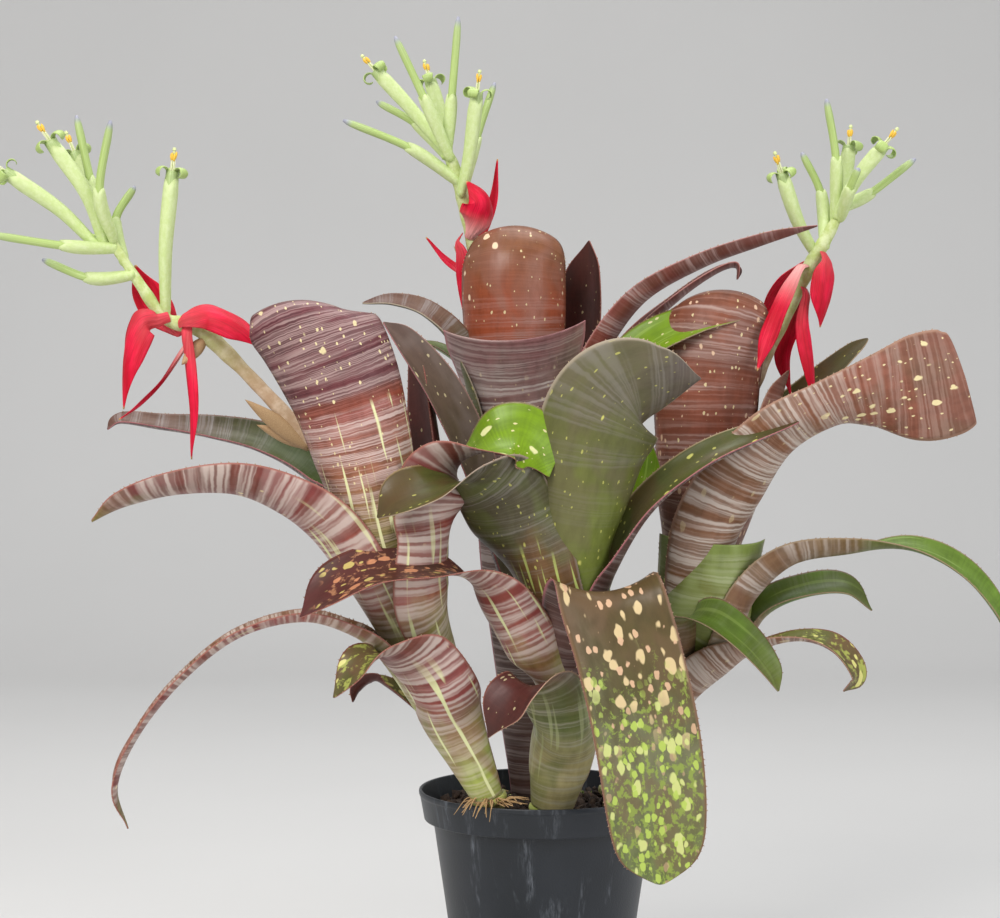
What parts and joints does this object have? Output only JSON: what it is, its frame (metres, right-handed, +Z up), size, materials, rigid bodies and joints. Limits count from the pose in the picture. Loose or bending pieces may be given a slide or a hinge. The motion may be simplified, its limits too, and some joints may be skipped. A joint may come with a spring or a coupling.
{
  "type": "potted bromeliad",
  "caption": "Clump of tubular bromeliad rosettes with banded, spotted, rolled-back leaves and red-bracted flower spikes, growing in a round black nursery pot.",
  "frame": {"origin": "centre of the pot's underside, on the ground", "axes": "+Z up, -Y towards the viewer of the plant's front, +X to its right"},
  "size_m": [0.5629, 0.2047, 0.5601],
  "materials": {
    "banded_leaf": "satin",
    "olive_leaf": "satin",
    "green_leaf": "satin",
    "brown_leaf": "satin",
    "stem": "matte",
    "flower": "satin",
    "bract": "satin",
    "pot": "satin",
    "soil": "matte"
  },
  "bodies": {
    "root": {"front_left_leaf": "olive_leaf", "front_lower_leaf": "olive_leaf", "front_rear_leaf": "brown_leaf", "front_right_leaf": "olive_leaf", "front_small_leaf": "green_leaf", "front_spotted_leaf": "brown_leaf", "front_stem": "stem", "front_strap_leaf": "olive_leaf", "front_tall_leaf": "olive_leaf", "left_back_leaf": "green_leaf", "left_bract_1": "bract", "left_bract_2": "bract", "left_bract_3": "bract", "left_bract_4": "bract", "left_bract_5": "bract", "left_flower_spike": "flower", "left_inner_leaf": "brown_leaf", "left_outer_leaf": "banded_leaf", "left_ribbon_leaf": "banded_leaf", "left_stem": "stem", "left_tube_leaf": "banded_leaf", "left_twisted_leaf": "olive_leaf", "left_wide_leaf": "banded_leaf", "left_withered_leaf": "brown_leaf", "pot": "pot", "rear_bract_1": "bract", "rear_bract_2": "bract", "rear_bract_3": "bract", "rear_bract_4": "bract", "rear_collar_leaf": "banded_leaf", "rear_curled_leaf": "brown_leaf", "rear_dark_leaf": "brown_leaf", "rear_flower_spike": "flower", "rear_green_leaf": "green_leaf", "rear_left_leaf": "green_leaf", "rear_ribbon_leaf": "banded_leaf", "rear_short_leaf": "green_leaf", "rear_stem": "stem", "rear_tube_leaf": "banded_leaf", "right_back_leaf": "green_leaf", "right_banded_leaf": "banded_leaf", "right_bract_1": "bract", "right_bract_2": "bract", "right_bract_3": "bract", "right_bract_4": "bract", "right_bract_5": "bract", "right_curled_leaf": "green_leaf", "right_drooping_leaf": "green_leaf", "right_flower_spike": "flower", "right_green_leaf": "green_leaf", "right_long_leaf": "green_leaf", "right_sheath_leaf": "green_leaf", "right_small_leaf": "brown_leaf", "right_stem": "stem", "right_tube_leaf": "banded_leaf", "soil": "soil"}
  },
  "joints": []
}
